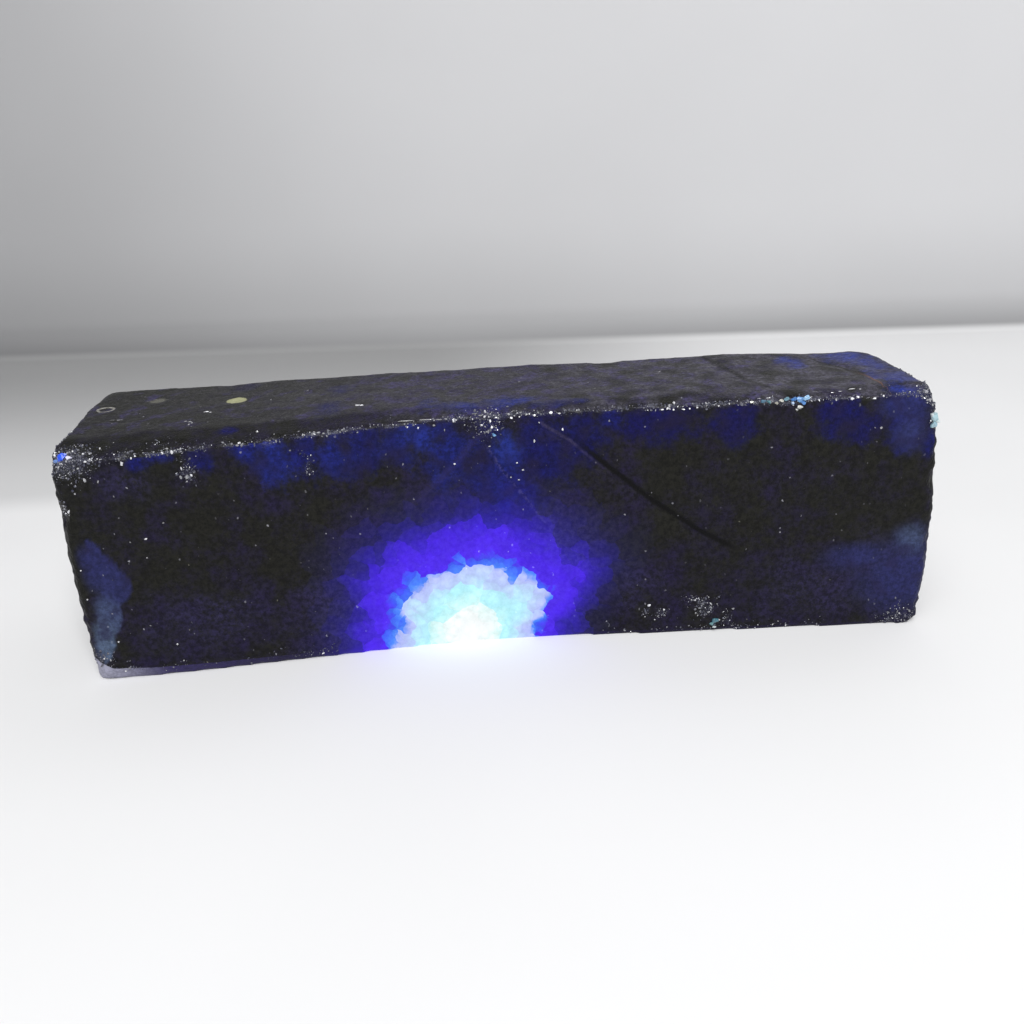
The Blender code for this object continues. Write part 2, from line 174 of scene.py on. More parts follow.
def line_field(points, line):
    """Signed distance in a plane to a line of straight runs, and how far along it each point is, 0 to 1."""
    line = np.array(line)
    runs = line[1:] - line[:-1]
    lengths = np.linalg.norm(runs, axis=1)
    starts = np.concatenate([[0.0], np.cumsum(lengths)])
    side = np.full(len(points), np.inf)
    share = np.zeros(len(points))
    for a, run, length, start in zip(line[:-1], runs, lengths, starts):
        t = np.clip((points - a) @ run / length**2, 0.0, 1.0)
        away = points - a - t[:, None] * run
        distance = np.linalg.norm(away, axis=1)
        sign = np.where(run[0] * away[:, 1] - run[1] * away[:, 0] >= 0.0, 1.0, -1.0)
        nearer = distance < np.abs(side)
        side[nearer] = (sign * distance)[nearer]
        share[nearer] = (start + t * length)[nearer] / starts[-1]
    return np.clip(side, -FAR, FAR), share


def blob_offset(points, blob):
    """How far each point is from a blob's middle, where 1 is its rim."""
    return (points - np.array(blob[:2])) / np.array(blob[2:4])


def blob_field(points, blobs):
    """How deep each point lies in a blob (1 at its middle, 0 on its rim, negative outside)."""
    depth = np.full(len(points), OUTSIDE)
    for blob in blobs:
        depth = np.maximum(depth, 1.0 - np.linalg.norm(blob_offset(points, blob), axis=1))
    return depth


def blob_light(points, blobs):
    """The lightness of the blobs around each point, blended where they meet."""
    total, weights = np.zeros(len(points)), np.full(len(points), 1e-6)
    for blob in blobs:
        weight = np.exp(-2.5 * (blob_offset(points, blob) ** 2).sum(axis=1))
        total += weight * blob[4]
        weights += weight
    return total / weights


# ---- Settings ----


def colour(name, description, value):
    return FloatVectorProperty(
        name=name, description=description, subtype="COLOR", size=3, min=0, max=1, default=value
    )


def measure(name, description, value, least=0.0):
    """A length given in millimetres, and kept in metres as Blender keeps it."""
    return FloatProperty(
        name=name, description=description, default=value * MM, min=least * MM, unit="LENGTH", precision=5
    )


def number(name, description, value, unit="NONE"):
    """A number of at least 0."""
    return FloatProperty(name=name, description=description, default=value, min=0, unit=unit)


class StoneSettings(bpy.types.PropertyGroup):
    skin_step: measure("Skin step", "Distance between neighbouring points of the fine skin", 0.52, 0.3)
    relief: measure("Relief", "Height of the lumps on broken faces; sawn faces have a fifth of it", 0.22)
    body_colour: colour("Body", "The stone where no light comes through", rgb(21, 21, 17))
    mottle_colour: colour("Mottling", "Dark violet patches in the body", rgb(24, 19, 45))
    haze_colour: colour("Haze", "Cloudy violet where light reaches the stone from inside", rgb(34, 31, 58))
    window_colour: colour("Window", "Deep blue where some light comes through", rgb(10, 9, 64))
    light_window_colour: colour("Light window", "Blue where much light comes through", rgb(30, 46, 130))
    # The top's grey film is a film of fine scratches with painted sheen, and the painted sheen is lighter at
    # the right.
    left_sheen_film_colour: colour("Left film", "Grey film of fine scratches on the top, at the left", rgb(32, 32, 30))
    right_sheen_film_colour: colour("Right film", "The same film at the right", rgb(62, 60, 71))
    # The foot strip's pale lavender is painted light.
    foot_light_colour: colour("Foot", "Pale lavender of the thin foot strip", rgb(150, 150, 168))
    torch_strength: number("Torch", "Strength of the torch light in the stone, 0 to switch it off", 1.0)
    torch_place: FloatVectorProperty(
        name="Torch place",
        description="Where the torch shines into the stone",
        default=(-0.0066, -0.0096, 0.0010),
        subtype="XYZ",
        unit="LENGTH",
        precision=4,
    )
    torch_reach: measure("Torch reach", "How far from that place the last blue light shows", 34.3, 1.0)


class GrainSettings(bpy.types.PropertyGroup):
    per_square_mm: number("Grains per mm2", "Crushed grains on a fully crushed surface", 34.0)
    smallest: measure("Smallest", "Radius of the smallest grain", 0.05)
    largest: measure("Largest", "Radius of the largest grain", 0.3)
    seed: IntProperty(name="Seed", description="Changes where the grains lie", default=4)


class StageSettings(bpy.types.PropertyGroup):
    key_power: number("Key light", "Power of the large lamp at the right", 5.4, "POWER")
    fill_power: number("Fill light", "Power of the soft lamp above", 2.6, "POWER")
    sky: number("Room light", "Strength of the even light of the room", 0.3)
    floor_colour: colour("Floor", "The white floor", (0.78, 0.78, 0.78))
    # The wall's grey is painted shade on the same paper as the white floor.
    shaded_wall_colour: colour("Wall", "The grey of the backdrop behind the stone", (0.62, 0.62, 0.63))


# ---- Materials ----

CORUNDUM_IOR = 1.77
PATTERN_SHIFT = (1.0, 0.7, 0.3)  # a pattern's seed moves it this way
GRAIN_LOW, GRAIN_HIGH = 0.35, 0.65  # most of a noise pattern's values lie between these

# Colours that aren't settings.
PALE_DEEP, PALE_LIGHT, PALE_CLOUD = rgb(34, 37, 82), rgb(72, 86, 110), rgb(30, 27, 62)
# Violet in the top's film of scratches and painted sheen.
VIOLET_SHEEN_FILM = rgb(52, 46, 84)
TOP_CRACK_TINT = rgb(10, 9, 12)
RUST_DARK, RUST_BROWN = rgb(14, 13, 14), rgb(92, 66, 56)
LENS_DARK, LENS_LIGHT = rgb(120, 120, 84), rgb(178, 178, 142)
RING_TINT, DISC_TINT = rgb(150, 148, 140), rgb(104, 103, 94)
# The crack's dark tint is partly the dark crack and partly painted shadow beside its lip.
CRACK_LIP, CRACK_AND_SHADOW_TINT = rgb(66, 60, 84), rgb(3, 3, 4)
SEAM_TINT, FAINT_SEAM_TINT = rgb(78, 74, 108), rgb(50, 44, 84)
# Painted light on the foot strip, violet further along, then dark.
FOOT_LIGHT_VIOLET, FOOT_DARK = rgb(48, 42, 84), rgb(24, 20, 44)
CRUSHED_GREY, CRUSHED_BLUE = rgb(92, 94, 100), rgb(116, 122, 150)
BLACK = (0.0, 0.0, 0.0)

# Fine specks: size of their cells in millimetres, largest radius as a share of a cell, seed and colour.
SPECKS = ((1.15, 0.16, 9.0, rgb(150, 150, 158)), (1.9, 0.08, 21.0, rgb(160, 158, 142)))

# Ramps of colour, as (position, red, green, blue). The painted glow of the torch's light runs from the torch
# outwards to its reach.
GRAIN_TINTS = ((0.0, 40, 42, 62), (0.6, 86, 87, 100), (0.88, 146, 146, 150), (1.0, 240, 240, 244))
GLOW = (
    (0.0, 255, 255, 255), (0.11, 248, 255, 255), (0.16, 232, 255, 253), (0.205, 204, 252, 252),
    (0.25, 184, 246, 255), (0.295, 186, 236, 254), (0.345, 190, 216, 254), (0.4, 182, 192, 252),
    (0.42, 74, 136, 255), (0.45, 58, 88, 246), (0.475, 76, 34, 240), (0.56, 68, 26, 228), (0.62, 56, 22, 204),
    (0.67, 38, 19, 160), (0.72, 25, 15, 120), (0.79, 15, 12, 82), (0.87, 9, 8, 48), (1.0, 0, 0, 0),
)


def feed(socket, value):
    """Links an output to the socket, or sets its value."""
    if isinstance(value, bpy.types.NodeSocket):
        socket.id_data.links.new(value, socket)
    elif socket.type == "RGBA":
        socket.default_value = (*value, 1.0)
    else:
        socket.default_value = value


def add_node(tree, kind, sockets=(), out=0, **properties):
    """Adds a node with its inputs linked or set. Gives its output of this name or number."""
    made = tree.nodes.new(kind)
    for name, value in properties.items():
        setattr(made, name, value)
    for socket, value in sockets:
        feed(made.inputs[socket], value)
    return made.outputs[out]


class Recipe:
    """Adds the nodes of one material. Patterns are sized in millimetres."""

    def __init__(self, name):
        self.material = bpy.data.materials.new(name)
        self.material.use_nodes = True
        self.material.cycles.emission_sampling = "NONE"
        self.shader = self.material.node_tree.nodes["Principled BSDF"]
        self.place = self.tone(self.add("ShaderNodeTexCoord", out="Object"), 1.0 / MM)

    def add(self, kind, sockets=(), out=0, **properties):
        return add_node(self.material.node_tree, kind, sockets, out, **properties)

    def set(self, name, value):
        feed(self.shader.inputs[name], value)

    def math(self, operation, *values, clamp=False):
        return self.add("ShaderNodeMath", enumerate(values), operation=operation, use_clamp=clamp)

    def plus(self, *values):
        return reduce(lambda a, b: self.math("ADD", a, b), values)

    def times(self, *values):
        return reduce(lambda a, b: self.math("MULTIPLY", a, b), values)

    def minus(self, first, second):
        return self.math("SUBTRACT", first, second)

    def vector(self, operation, *values, out=0):
        return self.add("ShaderNodeVectorMath", enumerate(values), out, operation=operation)

    def tone(self, colour, factor):
        """The colour or vector made larger or smaller."""
        return self.add("ShaderNodeVectorMath", ((0, colour), ("Scale", factor)), operation="SCALE")

    def between(self, value, low, high, to_low=0.0, to_high=1.0):
        """0 below low and 1 above high, with a soft change, or the two values given instead."""
        names = ("Value", "From Min", "From Max", "To Min", "To Max")
        sockets = zip(names, (value, low, high, to_low, to_high))
        return self.add("ShaderNodeMapRange", sockets, "Result", interpolation_type="SMOOTHSTEP")

    def swing(self, pattern, low, high):
        """A noise pattern as values from low to high."""
        return self.between(pattern, GRAIN_LOW, GRAIN_HIGH, low, high)

    def line(self, side, inner, outer, strength=1.0):
        """A line where a distance is 0: at full strength up to inner, and gone past outer."""
        return self.between(self.math("ABSOLUTE", side), inner, outer, strength, 0.0)

    def shifted(self, seed, vector):
        """The vector, or else the place, moved so that each seed sees its own part of a pattern."""
        vector = vector or self.place
        return self.vector("ADD", vector, tuple(seed * s for s in PATTERN_SHIFT)) if seed else vector

    def noise(self, size, detail, roughness=0.5, seed=0.0, vector=None, colour=False):
        values = (self.shifted(seed, vector), 1.0 / size, detail, roughness)
        sockets = zip(("Vector", "Scale", "Detail", "Roughness"), values)
        return self.add("ShaderNodeTexNoise", sockets, "Color" if colour else "Fac")

    def cells(self, size, vector=None, seed=0.0):
        """The outputs of a pattern of cells, by name."""
        sockets = (("Vector", self.shifted(seed, vector)), ("Scale", 1.0 / size))
        return self.add("ShaderNodeTexVoronoi", sockets).node.outputs

    def warped(self, size, amount):
        """The place, pushed about by noise, by at most this many millimetres along each axis."""
        push = self.vector("SUBTRACT", self.noise(size, 1.0, colour=True), (0.5, 0.5, 0.5))
        return self.vector("ADD", self.place, self.tone(push, amount * 2.0))

    def channels(self, colour):
        """The three parts of a colour, which serve as three unrelated patterns."""
        return dict(zip("rgb", self.add("ShaderNodeSeparateColor", [(0, colour)]).node.outputs))

    def centred(self, pattern, amount):
        """A pattern of 0 to 1 turned into one around 0 of this total height."""
        return self.times(self.minus(pattern, 0.5), amount)

    def field(self, name, out="Fac"):
        return self.add("ShaderNodeAttribute", out=out, attribute_name=name)

    def ragged(self, name, pattern, amount):
        """A stored field, made uneven by a pattern."""
        return self.plus(self.field(name), self.centred(pattern, amount))

    def blend(self, factor, first, second):
        sockets = ((0, factor), (6, first), (7, second))
        return self.add("ShaderNodeMix", sockets, 2, data_type="RGBA", clamp_factor=True)

    def ramp(self, value, stops):
        """Colours along a value, from rows of a position and three screen values."""
        made = self.add("ShaderNodeValToRGB", [("Fac", value)], "Color")
        elements = made.node.color_ramp.elements
        for element, (position, *shade) in zip(elements, (stops[0], stops[-1])):
            element.position, element.color = position, (*rgb(*shade), 1.0)
        for position, *shade in stops[1:-1]:
            elements.new(position).color = (*rgb(*shade), 1.0)
        return made

    def bump(self, height, distance_mm, strength):
        sockets = (("Strength", strength), ("Distance", distance_mm * MM), ("Height", height))
        return self.add("ShaderNodeBump", sockets, "Normal")


def stone_body(r, settings, grain):
    """Near-black stone with dark violet mottling, and cloudy violet painted in where light reaches it from
    inside.
    """
    mixed = r.ragged("mottle", grain["r"], 3.0)
    body = r.blend(r.between(mixed, -1.2, 1.5), settings.body_colour, settings.mottle_colour)
    haze = r.times(r.field("haze"), r.between(grain["b"], 0.3, 0.7))
    return r.tone(r.blend(haze, body, settings.haze_colour), r.swing(grain["g"], 0.5, 1.6))


def blue_windows(r, settings, grain, under):
    """Light comes through in blue windows. Their rims are ragged, and inside they are clouded."""
    depth = r.ragged("window", grain["r"], 0.9)
    light = r.ragged("lightness", grain["g"], 0.6)
    blue = r.blend(r.between(light, 0.0, 0.9), settings.window_colour, settings.light_window_colour)
    cloud = r.between(r.ragged("cloud", grain["b"], 2.0), -0.2, 1.0, 0.0, 0.7)
    blue = r.blend(cloud, r.tone(blue, r.swing(grain["b"], 0.55, 1.4)), settings.mottle_colour)
    share = r.times(r.between(depth, -0.25, 0.75), r.between(r.field("film"), 0.0, 1.0, 1.0, 0.6))
    under = r.blend(share, under, blue)
    pale = r.blend(r.between(r.field("pale_light"), 0.2, 0.8), PALE_DEEP, PALE_LIGHT)
    pale = r.blend(cloud, r.tone(pale, r.swing(grain["g"], 0.7, 1.35)), PALE_CLOUD)
    return r.blend(r.times(r.field("pale"), 0.85), under, pale)


def top_marks(r, grain, under):
    """On the top: a dark crack, a rust-brown line, a yellow-green grain, a pale ring and a grey disc."""
    crack = r.line(r.ragged("top_crack_side", grain["r"], 0.9), 0.15, 0.9, 0.85)
    under = r.blend(crack, under, TOP_CRACK_TINT)
    rust = r.line(r.ragged("rust_side", grain["r"], 0.9), 0.08, 0.4, 0.9)
    under = r.blend(rust, under, r.blend(r.between(r.field("rust_run"), 0.45, 0.8), RUST_DARK, RUST_BROWN))
    lens = r.between(r.ragged("lens", grain["g"], 0.5), 0.0, 0.2)
    under = r.blend(lens, under, r.blend(grain["b"], LENS_DARK, LENS_LIGHT))
    ring = r.line(r.minus(r.field("ring"), 0.18), 0.06, 0.22)
    under = r.blend(r.times(ring, r.between(grain["b"], 0.35, 0.6, 0.4, 1.0)), under, RING_TINT)
    return r.blend(r.between(r.ragged("disc", grain["r"], 0.9), 0.0, 0.5, 0.0, 0.7), under, DISC_TINT)


def fractures(r, grain, under):
    """The long crack, dark with a pale lip near the arris, and the two fainter seams under the notch. Its
    dark is partly painted shadow.

    Gives the colour, and how dark the crack and the painted shadow beside its lip are at each place.
    """
    side = r.ragged("crack_side", grain["r"], 0.35)
    run = r.field("crack_run")
    broken_up = r.times(r.between(run, 0.1, 0.42, 0.45, 0.0), r.between(grain["b"], 0.35, 0.6, 0.4, 1.0))
    lip = r.times(r.line(r.plus(side, 0.35), 0.05, 0.42), broken_up)
    under = r.blend(lip, under, CRACK_LIP)
    crack_dark_and_shadow = r.line(r.minus(side, 0.35), 0.15, 0.75)
    crack_dark_and_shadow = r.times(crack_dark_and_shadow, r.between(run, 0.08, 0.26, 0.0, 0.95), r.between(run, 0.90, 1.0, 1.0, 0.0))
    under = r.blend(crack_dark_and_shadow, under, CRACK_AND_SHADOW_TINT)
    seam = r.line(r.ragged("seam_side", grain["g"], 1.0), 0.05, 0.40)
    seam = r.times(seam, r.between(grain["b"], 0.42, 0.60, 0.0, 0.35))
    seam = r.times(seam, r.between(r.field("seam_run"), 0.5, 1.0, 1.0, 0.2))
    under = r.blend(seam, under, SEAM_TINT)
    faint = r.line(r.ragged("faint_side", grain["r"], 1.2), 0.1, 1.0, 0.22)
    return r.blend(faint, under, FAINT_SEAM_TINT), crack_dark_and_shadow


def foot_strip(r, settings, grain, under):
    """Light on the thin foot strip, painted in: lavender at the left, violet further along, then dark."""
    strip = r.between(r.ragged("foot", grain["b"], 0.35), 0.0, 0.15)
    run = r.field("foot_run")
    foot = r.blend(r.between(run, 0.015, 0.11), settings.foot_light_colour, FOOT_LIGHT_VIOLET)
    foot = r.blend(r.between(run, 0.10, 0.32), foot, FOOT_DARK)
    return r.blend(strip, under, r.tone(foot, r.swing(grain["g"], 0.8, 1.2)))


def fine_specks(r, under):
    """Small pale specks and short scratches, in a few of the cells of each pattern."""
    ragged = r.vector("MULTIPLY", r.warped(0.45, 0.22), (1.0, 1.0, 0.7))
    for size, largest, seed, tint in SPECKS:
        cells = r.cells(size, ragged, seed)
        chance = r.channels(cells["Color"])
        radius = r.between(chance["r"], 0.45, 1.0, 0.0, largest)
        speck = r.between(r.minus(cells["Distance"], radius), -0.06, 0.0, 1.0, 0.0)
        under = r.blend(r.times(speck, r.math("POWER", chance["g"], 1.6), 0.85), under, tint)
    return under


def painted_torch_glow(r, settings, grain):
    """The glow of a torch held under the front, painted into the stone grain by grain: white, pale, bright
    blue, violet and indigo.
    """
    torch = tuple(c / MM for c in settings.torch_place)
    warped = r.warped(1.6, 0.75)
    coarse, middle = r.cells(3.3, warped), r.cells(1.6, warped)
    places = ((coarse["Position"], 0.42), (middle["Position"], 0.28), (warped, 0.30))
    parts = [r.times(r.vector("LENGTH", r.vector("SUBTRACT", p, torch), out=1), share) for p, share in places]
    luck = r.channels(coarse["Color"])["r"]
    steps = r.plus(*parts, r.centred(luck, 2.2), r.centred(grain["r"], 0.8))
    distance = r.math("DIVIDE", steps, r.times(r.field("torch_share"), settings.torch_reach / MM))
    shade = r.between(middle["Distance"], 0.1, 0.8, 1.10, 0.94)
    shade = r.times(shade, r.between(grain["g"], 0.3, 0.7, 0.94, 1.06))
    near = r.between(distance, 0.02, 0.14, 1.0, 0.0)
    shade = r.plus(r.times(shade, r.minus(1.0, near)), near)
    return r.tone(r.ramp(distance, GLOW), r.times(shade, settings.torch_strength))


def stone_relief(r):
    """Saw waves along the block and pits everywhere, flakes on the arrises and the broken faces."""
    saw = r.noise(0.5, 1.0, vector=r.vector("MULTIPLY", r.place, (0.35, 1.0, 1.0)))
    pits = r.between(r.noise(0.42, 1.0, seed=32.0), 0.36, 0.5)
    flakes = r.cells(0.9, seed=5.0)["Distance"]
    rugged = r.plus(r.times(r.field("worn"), 0.20), r.times(r.field("broken"), 0.10))
    height = r.plus(r.times(saw, 0.035), r.times(pits, 0.055), r.times(flakes, rugged))
    return r.bump(height, 1.0, 0.6)


def stone_material(settings):
    r = Recipe("sapphire")
    grain = r.channels(r.noise(0.8, 4.0, 0.72, colour=True))
    # The top's film of fine scratches with painted sheen: lighter at the right, violet in blotches.
    sheen_film_tint = r.blend(r.field("film_run"), settings.left_sheen_film_colour, settings.right_sheen_film_colour)
    sheen_film_tint = r.blend(r.between(r.field("violet"), 0.1, 0.9, 0.0, 0.75), sheen_film_tint, VIOLET_SHEEN_FILM)
    film = r.times(r.field("film"), r.between(grain["b"], 0.35, 0.6, 0.25, 1.0))
    shade = r.blend(film, stone_body(r, settings, grain), r.tone(sheen_film_tint, r.swing(grain["r"], 0.55, 1.6)))
    shade, crack = fractures(r, grain, blue_windows(r, settings, grain, shade))
    shade = top_marks(r, grain, shade)
    speckle = r.between(r.math("FRACT", r.times(r.cells(0.35, seed=3.0)["Distance"], 7.0)), 0.5, 0.9)
    crushed = r.times(r.between(r.field("crushed"), 0.05, 1.2), r.times(speckle, 0.8))
    shade = r.blend(crushed, shade, r.blend(grain["b"], CRUSHED_GREY, CRUSHED_BLUE))
    r.set("Base Color", fine_specks(r, foot_strip(r, settings, grain, shade)))
    r.set("IOR", CORUNDUM_IOR)
    r.set("Specular IOR Level", 0.07)
    rough = r.plus(r.between(grain["g"], 0.25, 0.75, 0.36, 0.60), r.times(r.field("broken"), 0.08))
    r.set("Roughness", r.math("SUBTRACT", rough, r.times(r.field("worn"), 0.16), clamp=True))
    r.set("Normal", stone_relief(r))
    # The torch's light is painted in as glow of the stone itself, darkened along the crack and its painted
    # shadow.
    r.set("Emission Color", r.blend(r.times(crack, 0.4), painted_torch_glow(r, settings, grain), BLACK))
    r.set("Emission Strength", 1.0)
    return r.material


def glossy_pieces(r, tint, clouding, roughness, dents):
    """Finishes the material of small broken pieces: a clouded tint, a roughness and a bump."""
    r.set("Base Color", r.tone(tint, clouding))
    r.set("Roughness", roughness)
    r.set("IOR", CORUNDUM_IOR)
    r.set("Normal", dents)
    return r.material


def grain_material():
    """Crushed corundum: white to blue-grey, glossy, every grain a little different."""
    r = Recipe("crushed_corundum")
    clouding = r.between(r.noise(0.12, 2.0, seed=2.0), 0.3, 0.7, 0.8, 1.1)
    rough = r.between(r.noise(0.2, 1.0, seed=4.0), 0.3, 0.7, 0.1, 0.28)
    dents = r.bump(r.noise(0.08, 1.0, seed=5.0), 0.01, 0.4)
    return glossy_pieces(r, r.ramp(r.field("tint"), GRAIN_TINTS), clouding, rough, dents)


def crystal_material():
    """Solid, glossy pieces of crystal, each clouded in a colour of its own."""
    r = Recipe("bright_crystal")
    clouding = r.between(r.noise(0.5, 3.0, 0.6, seed=2.0), 0.3, 0.7, 0.7, 1.15)
    rough = r.between(r.noise(0.4, 1.0, seed=4.0), 0.3, 0.7, 0.08, 0.25)
    dents = r.bump(r.noise(0.25, 2.0, seed=5.0), 0.03, 0.4)
    return glossy_pieces(r, r.field("shade", "Color"), clouding, rough, dents)


# ---- The stone's skin ----

WELD = 0.002 * MM


def link(obj):
    bpy.context.scene.collection.objects.link(obj)
    return obj


def plain_mesh(obj, name):
    """The object's evaluated shape as a mesh of its own. The object is removed."""
    bpy.context.view_layer.update()
    mesh = bpy.data.meshes.new_from_object(obj.evaluated_get(bpy.context.evaluated_depsgraph_get()))
    mesh.name = name
    bpy.data.objects.remove(obj)
    return mesh


def fine_skin(step):
    """The block's surface, remade with points about one step apart."""
    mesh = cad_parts[NODE].data.copy()
    bm = bmesh.new()
    bm.from_mesh(mesh)
    bmesh.ops.remove_doubles(bm, verts=bm.verts, dist=WELD)
    bm.to_mesh(mesh)
    bm.free()
    skin = link(bpy.data.objects.new("skin", mesh))
    remesh = skin.modifiers.new("Even skin", "REMESH")
    remesh.mode = "VOXEL"
    remesh.voxel_size = step
    soften = skin.modifiers.new("Soften facets", "SMOOTH")
    soften.factor = 0.5
    soften.iterations = 3
    return plain_mesh(skin, STONE)


def mesh_arrays(mesh):
    """The points, in millimetres, and their normals."""
    arrays = []
    for kind in ("co", "normal"):
        numbers = np.zeros(len(mesh.vertices) * 3, np.float32)
        mesh.vertices.foreach_get(kind, numbers)
        arrays.append(numbers.reshape(-1, 3).astype(float))
    return arrays[0] / MM, arrays[1]


def face_shares(normals):
    """How much each point belongs to the sawn front, the sawn top, the broken faces and the worn arrises."""
    across, back, up = normals.T
    front = smooth(0.5, 0.85, -back)
    top = smooth(0.5, 0.85, up)
    broken = np.clip(smooth(0.3, 0.8, back) + smooth(0.4, 0.9, np.abs(across)), 0.0, 1.0)
    worn = smooth(0.03, 0.2, 1.0 - np.abs(normals).max(axis=1)) * (1.0 - smooth(0.0, -0.5, up))
    worn *= 1.0 - smooth(0.2, 0.6, broken) * 0.6
    return front, top, broken, worn


def chip_skin(points, normals, settings, broken, worn):
    """Fine relief: lumps and ledges on broken faces, faint saw waves on sawn ones, chips on the arrises."""
    relief = settings.relief / MM
    waves = partial(noise_at, points)
    lumps = waves(1.6, 3.0) + 0.6 * waves(0.9, 8.0)
    ridges = 1.0 - 2.0 * np.abs(noise_at(points * (1.0, 1.0, 1.6), 3.2, 14.0))
    saw = noise_at(points * (0.18, 1.0, 1.0), 1.5, 20.0)
    bites = np.clip(waves(1.3, 26.0) - 0.1, 0.0, 1.0)
    height = relief * broken * (0.6 * lumps + 0.5 * ridges)
    height += relief * 0.2 * (1.0 - broken) * (0.6 * saw + 0.6 * lumps)
    height -= 0.45 * worn * bites
    not_underneath = smooth(-0.9, -0.4, normals[:, 2])
    moved = points + normals * (height * not_underneath)[:, None]
    moved[:, 2] = np.clip(moved[:, 2], 0.0, None)
    return moved


def peak(x, z, place, wide, high):
    """1 at a place on the front, falling away softly over this width and height."""
    return np.exp(-(((x - place[0]) / wide) ** 2) - ((z - place[1]) / high) ** 2)


def crushed_share(points, front, worn):
    """How crushed the surface is: along the front arrises, in the bruises, at the notch and the corners."""
    x, y, z = points.T
    patches = smooth(-0.1, 0.5, noise_at(points, 2.6, 40.0) + 0.2)
    arris = worn * smooth(37.0, 40.0, z) * smooth(-5.0, -8.0, y)
    arris *= along(x, ARRIS_CRUSH)
    arris *= 0.3 + 0.7 * patches
    ragged = 0.6 * noise_at(points, 1.7, 63.0) + 0.5 * noise_at(points, 0.8, 64.0)
    bruise = 0.45 * smooth(-0.1, 0.9, blob_field(points[:, (0, 2)], FRONT_BRUISES) + ragged) * front
    notch = np.exp(-(((x + 0.8) / 2.4) ** 2)) * smooth(36.5, 41.0, z) * smooth(-8.5, -10.5, y)
    left_corner = peak(x, z, (-67.4, 39.8), 3.4, 1.9) * smooth(-13.0, -15.0, y)
    right_corner = smooth(68.0, 71.5, x) * worn * smooth(34.0, 38.0, z) * smooth(2.0, -6.0, y)
    low_right = peak(x, z, (70.0, 1.6), 2.6, 2.0) * front
    low_left = peak(x, z, (-68.7, 4.9), 1.6, 1.1) * smooth(-14.0, -16.0, y)
    foot = np.exp(-(((z - along(x, FOOT_LINE)) / 0.6) ** 2)) * front * patches
    foot *= smooth(20.0, 26.0, np.abs(x + 5.0))
    shares = (bruise, 0.35 * notch, 0.8 * left_corner, 0.5 * right_corner)
    return np.maximum.reduce((arris, *shares, 0.35 * low_right, 0.45 * low_left, 0.15 * foot))


def pale_field(flat):
    """How blue the pale windows are. Their left sides are soft, and their right ones as soft as is given."""
    share = np.zeros(len(flat))
    for blob in PALE_WINDOWS:
        depth = blob_field(flat, (blob,))
        right = flat[:, 0] > blob[0]
        soft = np.where(right, smooth(0.0, blob[5], depth), smooth(0.0, PALE_LEFT_SOFTNESS, depth))
        share = np.maximum(share, soft)
    return share


def torch_share(points, torch):
    """How far the torch's light reaches in each point's direction, as a share of its usual reach."""
    return along(np.degrees(np.arctan2(points[:, 2] - torch[2], points[:, 0] - torch[0])), TORCH_SHARES)


def stone_fields(points, normals, settings):
    """Distances and shares that the stone's material reads, by name."""
    front, top, broken, worn = face_shares(normals)
    flat, plan = points[:, (0, 2)], points[:, (0, 1)]
    waves = partial(noise_at, points)
    x, y, z = points.T
    on_top = top > front
    on_front = np.clip(front + worn, 0.0, 1.0)
    front_depth = blob_field(flat, FRONT_WINDOWS) + 3.0 * (on_front - 1.0)
    depth = np.where(on_top, blob_field(plan, TOP_WINDOWS) + 3.0 * (top - 1.0), front_depth)
    depth = np.maximum(depth, 1.1 * waves(9.0, 60.0) - 0.35 - 2.0 * (1.0 - broken))
    light = np.where(on_top, blob_light(plan, TOP_WINDOWS), blob_light(flat, FRONT_WINDOWS))
    drift = smooth(12.0, 36.0, np.abs(x + 2.0)) * smooth(10.0, 20.0, z)
    ridge = along(x, RIDGE) + 0.25 * waves(2.0, 50.0)
    bevelled = smooth(0.1, -0.1, y - ridge) * smooth(-12.0, -26.0, x)
    uneven = 0.35 + 0.85 * smooth(-10.0, 30.0, x)
    film = 0.76 + uneven * waves(3.4, 52.0)
    blotches = 0.9 * waves(3.0, 54.0) + 0.5 * waves(1.1, 55.0)
    fields = {
        "window": depth + 0.30 * waves(2.6, 5.0) + 0.12 * waves(1.2, 6.0),
        "lightness": light * (1.0 - broken),
        "pale": pale_field(flat) * on_front,
        "pale_light": blob_light(flat, PALE_WINDOWS),
        "mottle": 0.7 * waves(6.5, 1.0) + 0.6 * waves(2.2, 2.0) - 0.55 * drift,
        "cloud": waves(2.8, 7.0),
        "haze": smooth(0.0, 1.0, blob_field(flat, HAZES) + 0.25 * waves(4.0, 9.0)) * on_front,
        "foot": along(x, FOOT_LINE) - z - np.clip(y - FOOT_BACK, 0.0, None),
        "foot_run": (x - FOOT_START) / FOOT_LENGTH,
        # Painted sheen with the film of scratches on the top, less on the bevel.
        "film": top * (1.0 - 0.85 * bevelled) * np.clip(film, 0.0, 1.1),
        "violet": blotches + smooth(-40.0, 0.0, x) * smooth(60.0, 20.0, x) * 0.5,
        "film_run": smooth(-70.0, 70.0, x + 8.0 * waves(9.0, 44.0)),
        "broken": broken,
        "worn": worn,
        "crushed": crushed_share(points, front, worn),
        "torch_share": torch_share(points, np.array(settings.torch_place) / MM),
    }
    lines = (("crack", flat, CRACK, front), ("seam", flat, SEAM, front), ("faint", flat, FAINT_SEAM, front))
    lines += (("top_crack", plan, TOP_CRACK, top), ("rust", plan, RUST_LINE, top))
    for name, place, line, share in lines:
        side, run = line_field(place, line)
        fields[name + "_side"] = np.where(share > 0.3, side, FAR)
        if name in FADED_LINES:
            fields[name + "_run"] = run
    for name, spot in TOP_SPOTS.items():
        fields[name] = np.where(top > 0.3, blob_field(plan, (spot,)), OUTSIDE)
    return fields


